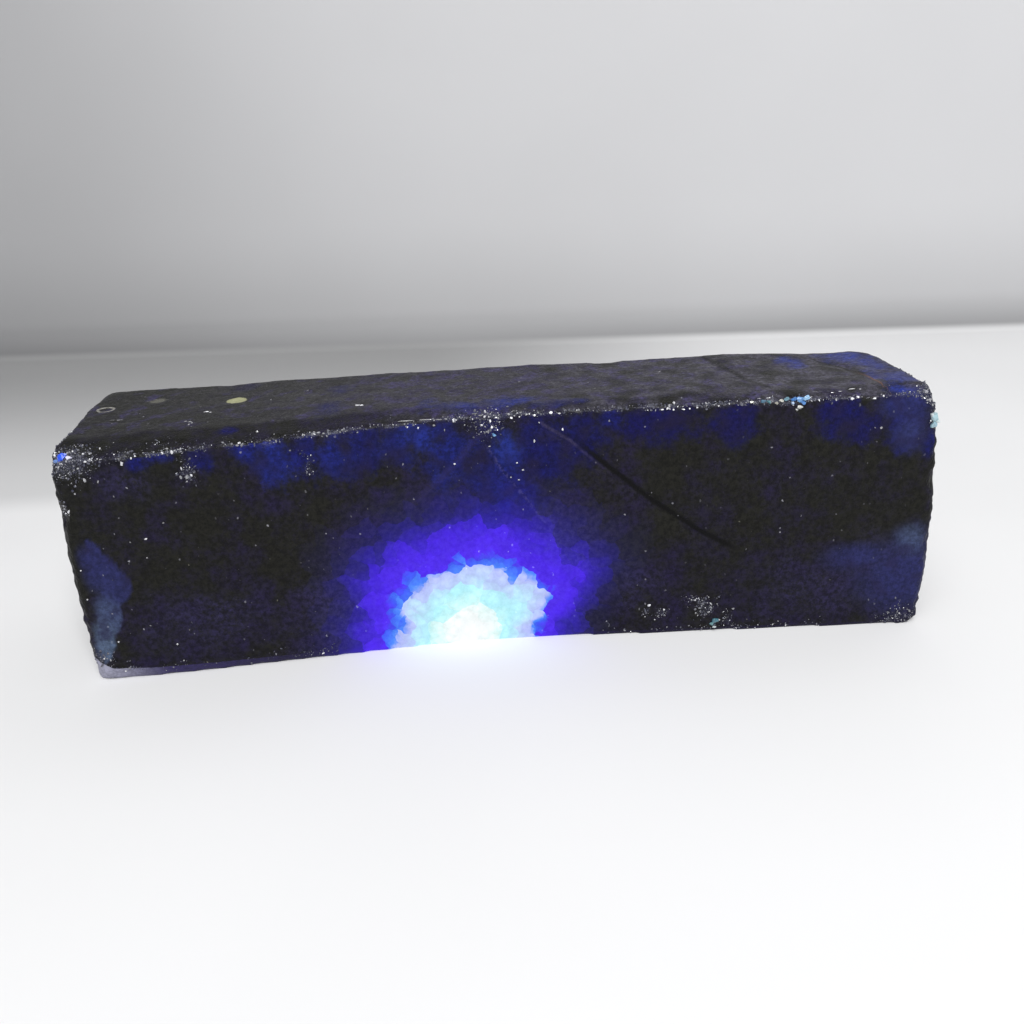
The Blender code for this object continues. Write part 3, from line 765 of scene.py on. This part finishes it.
class SAPPHIRE_OT_stone(bpy.types.Operator):
    """Grows the fine skin of the stone over the solid block"""

    bl_idname = "sapphire.make_stone"
    bl_label = "Make the stone"

    def execute(self, context):
        settings = context.scene.sapphire_stone
        mesh = fine_skin(settings.skin_step)
        points, normals = mesh_arrays(mesh)
        _, _, broken, worn = face_shares(normals)
        moved = chip_skin(points, normals, settings, broken, worn)
        mesh.vertices.foreach_set("co", (moved * MM).astype(np.float32).ravel())
        mesh.update()
        for name, values in stone_fields(moved, normals, settings).items():
            mesh.attributes.new(name, "FLOAT", "POINT").data.foreach_set("value", values.astype(np.float32))
        mesh.shade_smooth()
        mesh.materials.clear()
        mesh.materials.append(stone_material(settings))
        stone = link(bpy.data.objects.new(STONE, mesh))
        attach(stone, "root")
        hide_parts(NODE)
        return {"FINISHED"}


# ---- Crushed grains, scattered by Geometry Nodes ----

SIZE_POWER = 3.5  # the higher, the more of the grains are small
LEAST_SQUEEZE, MOST_SQUEEZE = (0.5, 0.5, 0.35), (1.6, 1.1, 0.9)  # along each axis
SIZE_SEED_SHIFT, TURN_SEED, SQUEEZE_SEED, TINT_SEED = 11.0, 5, 6, 7


def grain_tree(material):
    """Scatters small faceted grains where the surface's "crushed" field is high."""
    tree = bpy.data.node_groups.new("Crushed grains", "GeometryNodeTree")
    face = tree.interface
    face.new_socket("Geometry", in_out="INPUT", socket_type="NodeSocketGeometry")
    for name in ("Grains per m2", "Smallest", "Largest"):
        face.new_socket(name, in_out="INPUT", socket_type="NodeSocketFloat")
    face.new_socket("Seed", in_out="INPUT", socket_type="NodeSocketInt")
    face.new_socket("Geometry", in_out="OUTPUT", socket_type="NodeSocketGeometry")

    def add(kind, out, *sockets, **properties):
        return add_node(tree, kind, sockets, out, **properties)

    def math_of(operation, first, second):
        return add("ShaderNodeMath", 0, (0, first), (1, second), operation=operation)

    def chance_of(kind, out, *sockets):
        return add("FunctionNodeRandomValue", out, *sockets, data_type=kind)

    given = tree.nodes.new("NodeGroupInput").outputs
    surface, seed = given["Geometry"], given["Seed"]
    crushed = add("GeometryNodeInputNamedAttribute", "Attribute", ("Name", "crushed"), data_type="FLOAT")
    density = ("Density", math_of("MULTIPLY", crushed, given["Grains per m2"]))
    scatter = "GeometryNodeDistributePointsOnFaces"
    points = add(scatter, "Points", ("Mesh", surface), density, ("Seed", seed), distribute_method="RANDOM")
    chance = chance_of("FLOAT", 1, ("Seed", math_of("ADD", seed, SIZE_SEED_SHIFT)))
    power = ("Value", math_of("POWER", chance, SIZE_POWER))
    smallest, largest = ("To Min", given["Smallest"]), ("To Max", given["Largest"])
    radius = add("ShaderNodeMapRange", "Result", power, smallest, largest)
    turn = chance_of("FLOAT_VECTOR", 0, ("Max", (math.tau,) * 3), ("Seed", TURN_SEED))
    limits = (("Min", LEAST_SQUEEZE), ("Max", MOST_SQUEEZE))
    squeeze = chance_of("FLOAT_VECTOR", 0, *limits, ("Seed", SQUEEZE_SEED))
    size = add("ShaderNodeVectorMath", 0, (0, squeeze), ("Scale", radius), operation="SCALE")
    grain = add("GeometryNodeMeshIcoSphere", "Mesh", ("Radius", 1.0), ("Subdivisions", 1))
    sockets = (("Points", points), ("Instance", grain), ("Rotation", turn), ("Scale", size))
    placed = add("GeometryNodeInstanceOnPoints", "Instances", *sockets)
    tint = chance_of("FLOAT", 1, ("Seed", TINT_SEED))
    sockets = (("Geometry", placed), ("Name", "tint"), ("Value", tint))
    tinted = add("GeometryNodeStoreNamedAttribute", 0, *sockets, data_type="FLOAT", domain="INSTANCE")
    whole = add("GeometryNodeRealizeInstances", 0, ("Geometry", tinted))
    painted = add("GeometryNodeSetMaterial", 0, ("Geometry", whole), ("Material", material))
    feed(tree.nodes.new("NodeGroupOutput").inputs["Geometry"], painted)
    return tree


def run_tree(tree, mesh, name, inputs):
    """The plain mesh that a tree makes from a mesh."""
    carrier = link(bpy.data.objects.new("carrier", mesh))
    modifier = carrier.modifiers.new("Nodes", "NODES")
    modifier.node_group = tree
    for item in tree.interface.items_tree:
        if item.in_out == "INPUT" and item.name in inputs:
            modifier[item.identifier] = inputs[item.name]
    return plain_mesh(carrier, name)


class SAPPHIRE_OT_grains(bpy.types.Operator):
    """Scatters crushed grains along the arrises, in the bruises and at the notch"""

    bl_idname = "sapphire.make_grains"
    bl_label = "Make the crushed grains"

    def execute(self, context):
        settings = context.scene.sapphire_grains
        inputs = {
            "Grains per m2": settings.per_square_mm / MM**2,
            "Smallest": settings.smallest,
            "Largest": settings.largest,
            "Seed": settings.seed,
        }
        mesh = run_tree(grain_tree(grain_material()), bpy.data.objects[STONE].data.copy(), GRAINS, inputs)
        if not mesh.polygons:
            raise RuntimeError("no grain was scattered")
        grains = link(bpy.data.objects.new(GRAINS, mesh))
        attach(grains, "root")
        return {"FINISHED"}


# ---- Bright crystals and chips, each in its own place ----

# Crystals: place x, y, z, half sizes along x, y and z, and colour as 0-255 screen values.
CRYSTALS = (
    (-68, -17, 40.7, 1.2, 0.7, 1.1, 34, 84, 226), (-67.8, -17.3, 39.9, 0.7, 0.5, 0.7, 64, 116, 232),
    (-69.2, -16.5, 40.3, 0.7, 0.5, 0.7, 84, 126, 196), (-68.9, -16.8, 39.4, 0.5, 0.5, 0.5, 150, 176, 226),
    (-66.8, -17.5, 40.8, 0.7, 0.5, 0.5, 222, 220, 242), (-66.5, -17.8, 39.4, 0.5, 0.3, 0.4, 176, 184, 206),
    (-67.4, -17.7, 38.8, 0.4, 0.3, 0.4, 190, 192, 200), (-66.3, -17.9, 39.9, 0.4, 0.3, 0.3, 120, 136, 196),
    (-68.9, -17.1, 38.7, 0.5, 0.3, 0.3, 150, 170, 190), (48.3, -12.9, 42.3, 0.6, 0.4, 0.4, 96, 134, 150),
    (49.5, -13, 42.4, 0.8, 0.5, 0.5, 66, 116, 178), (50.5, -13.1, 42.3, 0.7, 0.5, 0.6, 90, 146, 204),
    (51.5, -13.1, 42.4, 0.7, 0.5, 0.5, 138, 178, 212), (51.1, -13.2, 41.6, 0.6, 0.3, 0.4, 72, 132, 200),
    (47.4, -13, 42.1, 0.5, 0.4, 0.3, 196, 196, 186), (46.6, -13.1, 41.8, 0.4, 0.3, 0.3, 150, 148, 138),
    (42.6, -13, 42.2, 0.5, 0.4, 0.3, 140, 140, 130), (49.2, -13.3, 41.7, 0.4, 0.3, 0.3, 150, 170, 200),
    (50.4, -13.4, 41, 0.5, 0.3, 0.4, 200, 200, 196), (49.9, -13.4, 40.6, 0.3, 0.3, 0.3, 150, 150, 150),
    (45.4, -13, 42, 0.6, 0.4, 0.4, 86, 140, 150), (44.6, -12.9, 42.2, 0.5, 0.4, 0.3, 60, 112, 140),
    (37.7, -13, 2.2, 0.7, 0.4, 0.6, 66, 112, 126), (37.1, -13.1, 1.6, 0.5, 0.3, 0.4, 90, 134, 140),
    (37.5, -13.3, 1, 0.5, 0.3, 0.2, 176, 184, 186), (0.6, -11.3, 38.6, 0.4, 0.3, 0.5, 110, 156, 200),
    (72.4, -13.8, 38.2, 0.8, 0.7, 0.9, 166, 196, 204), (72.8, -13.4, 37.4, 0.8, 0.7, 0.9, 206, 224, 226),
    (72.3, -14, 36.8, 0.6, 0.5, 0.7, 146, 178, 190), (71.8, -14, 38.6, 0.4, 0.4, 0.4, 190, 200, 204),
    (70.9, -12.6, 42.2, 0.6, 0.5, 0.4, 160, 160, 168), (71.3, -13.6, 40.9, 0.3, 0.3, 0.5, 150, 150, 156),
    (71.5, -13.5, 40.1, 0.3, 0.3, 0.4, 130, 134, 150),
)
# Bright chips on the front, their pale colour partly painted glints: x, z, half width, half height, lightness
# 0-1.
FRONT_CHIPS_AND_GLINTS = (
    (-64.2, 40.3, 0.35, 0.22, 0.9), (-58.6, 39.5, 0.3, 0.4, 0.8), (-51.6, 41, 0.3, 0.2, 0.7),
    (-49.4, 40.8, 0.22, 0.4, 0.9), (-13.5, 41, 0.22, 0.22, 1), (-11.7, 40.7, 0.18, 0.22, 1),
    (-9.2, 40.9, 0.3, 0.2, 0.6), (-7.5, 39.9, 0.12, 0.35, 0.6), (-1.4, 40.3, 0.3, 0.22, 0.9),
    (0.1, 41, 0.16, 0.34, 1), (0.3, 39.9, 0.22, 0.28, 1), (1.1, 41.5, 0.24, 0.12, 1),
    (1.2, 39.4, 0.14, 0.22, 1), (-0.3, 36.6, 0.22, 0.12, 0.7), (3.6, 41.4, 0.26, 0.2, 1),
    (4.8, 41.5, 0.26, 0.12, 1), (6.1, 41.8, 0.18, 0.14, 1), (7.4, 41.6, 0.26, 0.2, 1),
    (10.1, 41.8, 0.36, 0.32, 1), (11.5, 41.7, 0.3, 0.14, 0.9), (7.2, 37.2, 0.16, 0.42, 0.9),
    (11.9, 38.9, 0.2, 0.3, 1), (8.1, 40.3, 0.16, 0.14, 0.8), (4.1, 33.5, 0.2, 0.18, 0.8),
    (5, 32.2, 0.3, 0.18, 0.8), (4.3, 30.4, 0.26, 0.14, 0.8), (3, 30.9, 0.2, 0.18, 0.7),
    (-6.3, 33.9, 0.22, 0.2, 0.9), (25.8, 41.6, 0.16, 0.14, 0.9), (28.2, 41.6, 0.3, 0.16, 1),
    (29.3, 41.7, 0.16, 0.12, 0.9), (30, 41.5, 0.18, 0.22, 1), (31.6, 41.5, 0.32, 0.14, 1),
    (32.6, 41.6, 0.16, 0.14, 1), (33.8, 41.7, 0.22, 0.16, 1), (35.4, 41.9, 0.12, 0.12, 0.8),
    (37.3, 41.8, 0.16, 0.14, 0.9), (58.8, 42, 0.34, 0.26, 1), (59.7, 42.1, 0.22, 0.26, 1),
    (62.3, 41.9, 0.4, 0.16, 1), (63.8, 42.2, 0.22, 0.2, 0.9), (62.8, 36.9, 0.14, 0.14, 0.6),
    (63.8, 36.8, 0.28, 0.26, 0.6), (-57.4, 26.2, 0.32, 0.22, 0.9), (-60, 25.9, 0.16, 0.18, 0.6),
    (-54.1, 28.8, 0.18, 0.16, 0.6), (-57.9, 22.8, 0.16, 0.14, 0.6), (-68.8, 21.5, 0.2, 0.2, 0.9),
    (-69, 16.1, 0.18, 0.18, 0.8), (-59.7, 10.2, 0.18, 0.18, 0.6), (-65.5, 7.7, 0.2, 0.2, 0.8),
    (-55.9, 6.2, 0.18, 0.2, 0.9), (-55.4, 2.9, 0.18, 0.18, 0.7),
)
# Pale scratches and small grains on the top: x, y, half width, half depth, lightness 0-1.
TOP_CHIPS = (
    (-64.6, -2.8, 0.5, 0.12, 0.5), (-63.3, -2.9, 0.6, 0.14, 0.6), (-50.9, -6.9, 0.4, 0.14, 0.6),
    (-50.1, -7.3, 0.4, 0.2, 0.7), (-49.6, -7.9, 0.2, 0.35, 0.6), (-49.9, -8.6, 0.2, 0.35, 0.6),
    (-48.8, -1.8, 0.5, 0.3, 1), (-48, -2.2, 0.3, 0.2, 0.8), (-22.4, -3.9, 0.5, 0.4, 0.8),
    (-21.7, -4.1, 0.4, 0.4, 0.9), (-38.6, 3.2, 0.2, 0.25, 0.5), (-33, 8.4, 0.3, 0.2, 0.4),
    (-14.6, 1.2, 0.2, 0.25, 0.5), (5.4, 4.6, 0.3, 0.2, 0.4), (18.2, -2.4, 0.2, 0.25, 0.5),
    (30.6, 6, 0.3, 0.25, 0.4), (-13.4, -11.2, 1.7, 0.09, 0.7), (-10.5, -11.2, 1.5, 0.08, 0.6),
    (-8.4, -11.2, 0.9, 0.06, 0.5), (53.5, -11.2, 0.5, 0.2, 0.6), (55.9, -12.2, 0.4, 0.2, 0.7),
    (57.3, -11.9, 0.4, 0.2, 0.7), (59.3, -11.3, 0.7, 0.2, 0.85), (60.6, -11.6, 0.2, 0.12, 0.8),
    (-2.4, -10, 0.6, 0.45, 0.4), (-1.4, -10.3, 0.5, 0.4, 0.5),
)
CHIP_HALF_DEPTH, SCRATCH_HALF_HEIGHT = 0.2, 0.1
IN_FRONT, ABOVE = -40.0, 80.0  # clear of the stone, where the lines that find its surface start
CRYSTAL_SEED = 7
LUMP_POINTS = 16


def lump(rng, half):
    """A closed, faceted piece of crystal: the hull of random points, squeezed to its half sizes."""
    bm = bmesh.new()
    for _ in range(LUMP_POINTS):
        direction = rng.normal(size=3)
        direction /= np.linalg.norm(direction)
        bm.verts.new(direction * half * rng.uniform(0.75, 1.1))
    bmesh.ops.convex_hull(bm, input=bm.verts)
    bmesh.ops.delete(bm, geom=[v for v in bm.verts if not v.link_faces], context="VERTS")
    bmesh.ops.recalc_face_normals(bm, faces=bm.faces)
    return bm


def joined_lumps(pieces, name):
    """One mesh of many lumps. Each piece is (place, half sizes, colour), in millimetres."""
    rng = np.random.default_rng(CRYSTAL_SEED)
    whole = bmesh.new()
    shade = whole.verts.layers.float_color.new("shade")
    for place, half, tint in pieces:
        one = lump(rng, np.array(half))
        known = {}
        for vert in one.verts:
            known[vert] = whole.verts.new((Vector(place) + vert.co) * MM)
            known[vert][shade] = (*tint, 1.0)
        for face in one.faces:
            whole.faces.new([known[v] for v in face.verts])
        one.free()
    mesh = bpy.data.meshes.new(name)
    whole.to_mesh(mesh)
    whole.free()
    return mesh


def surface_at(tree, start, direction):
    """Where a line from this place first meets the stone, in millimetres."""
    hit, _, _, _ = tree.ray_cast(Vector(start) * MM, Vector(direction))
    if hit is None:
        raise RuntimeError(f"no stone is met from {start}")
    return hit / MM


def chip_and_glint_colour(light):
    """Grey at 0 to white at 1, with a touch of blue."""
    grey = 0.12 + 0.83 * light**3
    return grey, grey, min(1.0, grey * 1.04)


class SAPPHIRE_OT_crystals(bpy.types.Operator):
    """Sets the bright crystals and chips that catch the light"""

    bl_idname = "sapphire.make_crystals"
    bl_label = "Make the bright crystals"

    def execute(self, context):
        stone = bpy.data.objects[STONE].data
        tree = BVHTree.FromPolygons([v.co for v in stone.vertices], [p.vertices for p in stone.polygons])
        pieces = [(row[:3], row[3:6], rgb(*row[6:])) for row in CRYSTALS]
        for x, z, wide, high, light in FRONT_CHIPS_AND_GLINTS:
            place = surface_at(tree, (x, IN_FRONT, z), (0.0, 1.0, 0.0))
            pieces.append((place, (wide, CHIP_HALF_DEPTH, high), chip_and_glint_colour(light)))
        for x, y, wide, deep, light in TOP_CHIPS:
            place = surface_at(tree, (x, y, ABOVE), (0.0, 0.0, -1.0))
            pieces.append((place, (wide, deep, SCRATCH_HALF_HEIGHT), chip_and_glint_colour(light)))
        mesh = joined_lumps(pieces, CRYSTAL_PIECE)
        mesh.materials.append(crystal_material())
        crystals = link(bpy.data.objects.new(CRYSTAL_PIECE, mesh))
        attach(crystals, "root")
        return {"FINISHED"}


# ---- Stage ----

CAMERA_PLACE = Vector((2.8, -168.25, 91.2)) * MM
CAMERA_DOWN = math.radians(23.0)
CAMERA_ROLL = math.radians(3.3)
CAMERA_LENS, CAMERA_SENSOR = 35.16, 36.0
WALL_LEFT, WALL_RIGHT = (-204.3, 241.0), (196.0, 195.9)  # where the floor turns up into the backdrop
SWEEP_RADIUS, SWEEP_STEPS = 10.0, 8
FLOOR_REACH, WALL_HEIGHT = 1500.0, 900.0
ROOM_TINT = (0.95, 0.96, 1.0, 1.0)

# Square soft lamps: name, place, what they aim at, side, and the setting that holds their power.
LAMPS = (
    ("key_lamp", (140.0, -600.0, 620.0), (0.0, 0.0, 0.0), 300.0, "key_power"),
    ("top_lamp", (-60.0, -420.0, 760.0), (0.0, -120.0, 0.0), 500.0, "fill_power"),
)


def backdrop_material(settings):
    """Matt paper: white on the floor, with painted shade: grey where it stands up, darker low down and to the
    left, and a painted shadow on the floor behind the stone at the left.
    """
    r = Recipe("backdrop_paper")
    across, back, up = r.add("ShaderNodeSeparateXYZ", [(0, r.place)]).node.outputs
    # Painted shade on the wall: darker low down and towards the left.
    painted_wall_shade = r.times(r.between(up, 0.0, 14.0, 0.62, 1.0), r.between(up, 0.0, 50.0, 0.82, 1.0))
    wall = r.tone(tuple(settings.shaded_wall_colour), r.times(painted_wall_shade, r.between(across, -200.0, 0.0, 0.72, 1.0)))
    # A painted shadow on the floor behind the stone at the left, darker further back.
    painted_floor_shadow = r.times(r.between(back, 62.0, 78.0, 0.0, 1.0), r.between(across, -30.0, 110.0, 1.0, 0.0))
    floor = tuple(settings.floor_colour)
    floor = r.blend(painted_floor_shadow, floor, r.tone(floor, r.between(back, 60.0, 205.0, 0.80, 0.46)))
    paper = r.blend(r.between(up, 0.0, 2.5), floor, wall)
    r.set("Base Color", r.tone(paper, r.between(r.noise(60.0, 1.0), 0.3, 0.7, 0.98, 1.0)))
    r.set("Roughness", r.between(r.noise(20.0, 0.0), 0.3, 0.7, 0.85, 0.95))
    r.set("Specular IOR Level", 0.1)
    r.set("Normal", r.bump(r.noise(0.9, 0.0), 0.015, 0.3))
    return r.material


def make_sweep(material):
    """A floor that turns up into a plain backdrop behind the stone."""
    left, right = np.array(WALL_LEFT), np.array(WALL_RIGHT)
    run = (right - left) / np.linalg.norm(right - left)
    back = np.array((-run[1], run[0]))
    middle = (left + right) / 2.0
    profile = [(-FLOOR_REACH, 0.0), (-SWEEP_RADIUS, 0.0)]
    for i in range(1, SWEEP_STEPS + 1):
        angle = math.pi / 2.0 * i / SWEEP_STEPS
        across, up = math.sin(angle), 1.0 - math.cos(angle)
        profile.append((-SWEEP_RADIUS + SWEEP_RADIUS * across, SWEEP_RADIUS * up))
    profile.append((0.0, WALL_HEIGHT))
    bm = bmesh.new()
    rows = []
    for distance, height in profile:
        ends = [middle + run * side + back * distance for side in (-FLOOR_REACH, FLOOR_REACH)]
        rows.append([bm.verts.new((e[0] * MM, e[1] * MM, height * MM)) for e in ends])
    for a, b in zip(rows[:-1], rows[1:]):
        bm.faces.new((a[0], a[1], b[1], b[0]))
    mesh = bpy.data.meshes.new("backdrop")
    bm.to_mesh(mesh)
    bm.free()
    mesh.shade_smooth()
    mesh.materials.append(material)
    link(bpy.data.objects.new("backdrop", mesh))


def make_lamp(name, place, aim, side, power):
    lamp = bpy.data.lights.new(name, "AREA")
    lamp.shape = "SQUARE"
    lamp.size = side * MM
    lamp.energy = power
    made = link(bpy.data.objects.new(name, lamp))
    made.location = Vector(place) * MM
    made.rotation_euler = (Vector(aim) - Vector(place)).to_track_quat("-Z", "Y").to_euler()


def make_camera():
    camera = bpy.data.cameras.new("camera")
    camera.lens = CAMERA_LENS
    camera.sensor_width = CAMERA_SENSOR
    camera.clip_start = 10.0 * MM
    made = link(bpy.data.objects.new("camera", camera))
    tilt = Matrix.Rotation(math.pi / 2.0 - CAMERA_DOWN, 4, "X")
    roll = Matrix.Rotation(-CAMERA_ROLL, 4, "Z")
    made.matrix_world = Matrix.Translation(CAMERA_PLACE) @ tilt @ roll
    bpy.context.scene.camera = made


class SAPPHIRE_OT_stage(bpy.types.Operator):
    """Makes the pale floor and backdrop, the soft lamps and the camera"""

    bl_idname = "sapphire.make_stage"
    bl_label = "Make the stage"

    def execute(self, context):
        settings = context.scene.sapphire_stage
        make_sweep(backdrop_material(settings))
        for name, place, aim, side, power in LAMPS:
            make_lamp(name, place, aim, side, getattr(settings, power))
        world = bpy.data.worlds.new("room")
        world.use_nodes = True
        room = world.node_tree.nodes["Background"].inputs
        room["Color"].default_value = ROOM_TINT
        room["Strength"].default_value = settings.sky
        context.scene.world = world
        context.scene.view_settings.view_transform = "Standard"
        make_camera()
        return {"FINISHED"}


class SAPPHIRE_PT_panel(bpy.types.Panel):
    """Settings and steps of the rough sapphire"""

    bl_idname = "SAPPHIRE_PT_panel"
    bl_label = "Rough sapphire"
    bl_space_type = "VIEW_3D"
    bl_region_type = "UI"
    bl_category = "Sapphire"

    def draw(self, context):
        for name in SETTINGS:
            group = getattr(context.scene, name)
            box = self.layout.box()
            for setting in group.__annotations__:
                box.prop(group, setting)
        for operator in OPERATORS:
            self.layout.operator(operator.bl_idname)


SETTINGS = {
    "sapphire_stone": StoneSettings,
    "sapphire_grains": GrainSettings,
    "sapphire_stage": StageSettings,
}
OPERATORS = (SAPPHIRE_OT_stone, SAPPHIRE_OT_grains, SAPPHIRE_OT_crystals, SAPPHIRE_OT_stage)
CLASSES = (*SETTINGS.values(), *OPERATORS, SAPPHIRE_PT_panel)


def register():
    for cls in CLASSES:
        bpy.utils.register_class(cls)
    for name, group in SETTINGS.items():
        setattr(bpy.types.Scene, name, PointerProperty(type=group))


def unregister():
    for name in SETTINGS:
        delattr(bpy.types.Scene, name)
    for cls in reversed(CLASSES):
        bpy.utils.unregister_class(cls)


def main():
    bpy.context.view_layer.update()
    register()
    bpy.ops.sapphire.make_stage()
    bpy.ops.sapphire.make_stone()
    bpy.ops.sapphire.make_grains()
    bpy.ops.sapphire.make_crystals()


if __name__ == "__main__":
    main()
